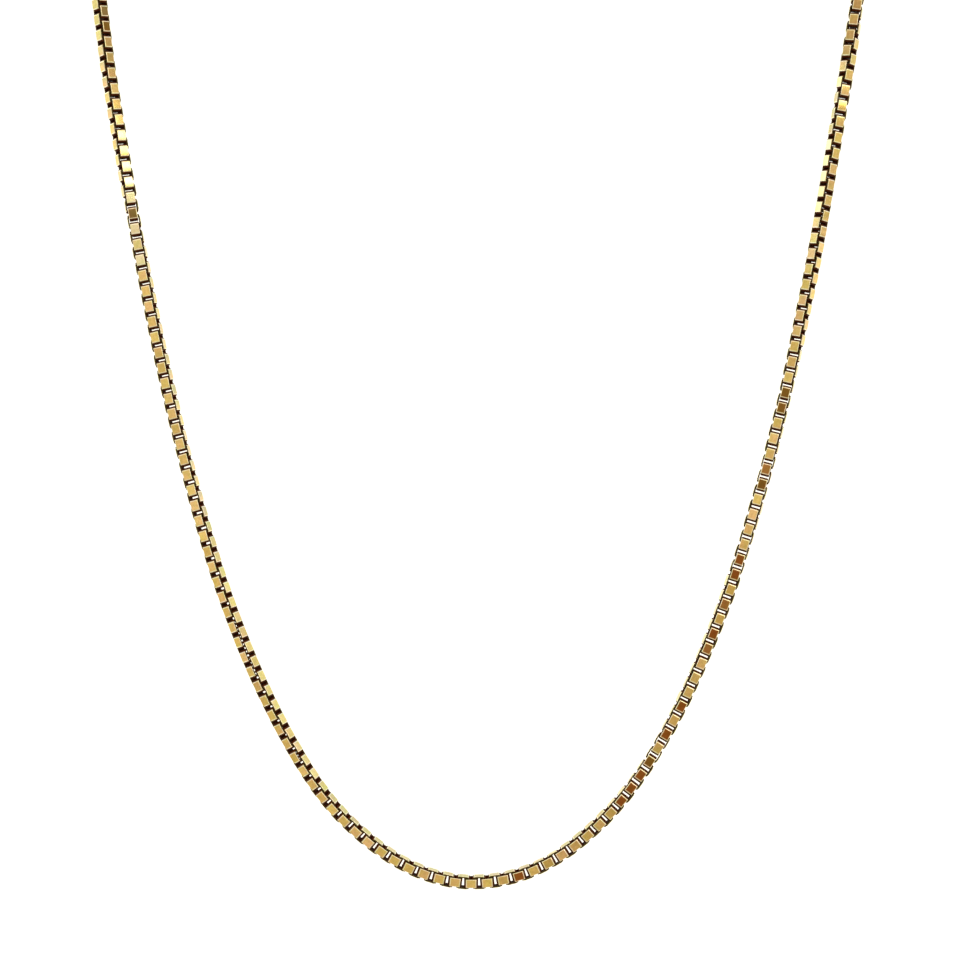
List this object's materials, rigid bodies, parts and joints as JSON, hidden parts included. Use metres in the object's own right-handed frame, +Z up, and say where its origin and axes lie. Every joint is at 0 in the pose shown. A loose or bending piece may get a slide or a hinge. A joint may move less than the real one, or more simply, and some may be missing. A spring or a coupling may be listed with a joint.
{
  "type": "box chain necklace",
  "caption": "Slim gold box chain necklace: a closed loop of square folded links that hangs in a long curve from the neck, joined at the nape by a plain oval clasp.",
  "frame": {"origin": "middle of the fastening at the nape, where the necklace hangs on the back of the neck", "axes": "+Z up, -Y towards the wearer's front, which is the side seen in the picture, +X to the viewer's right"},
  "size_m": [0.1115, 0.0917, 0.1713],
  "materials": {
    "chain_gold": "polished yellow gold with fine wear, darker in the gaps between the links",
    "fastening_gold": "polished yellow gold"
  },
  "bodies": {
    "root": {"chain": "chain_gold", "end_link_left": "chain_gold", "end_link_right": "chain_gold", "jump_ring_left": "fastening_gold", "jump_ring_right": "fastening_gold", "clasp": "fastening_gold"}
  },
  "joints": []
}
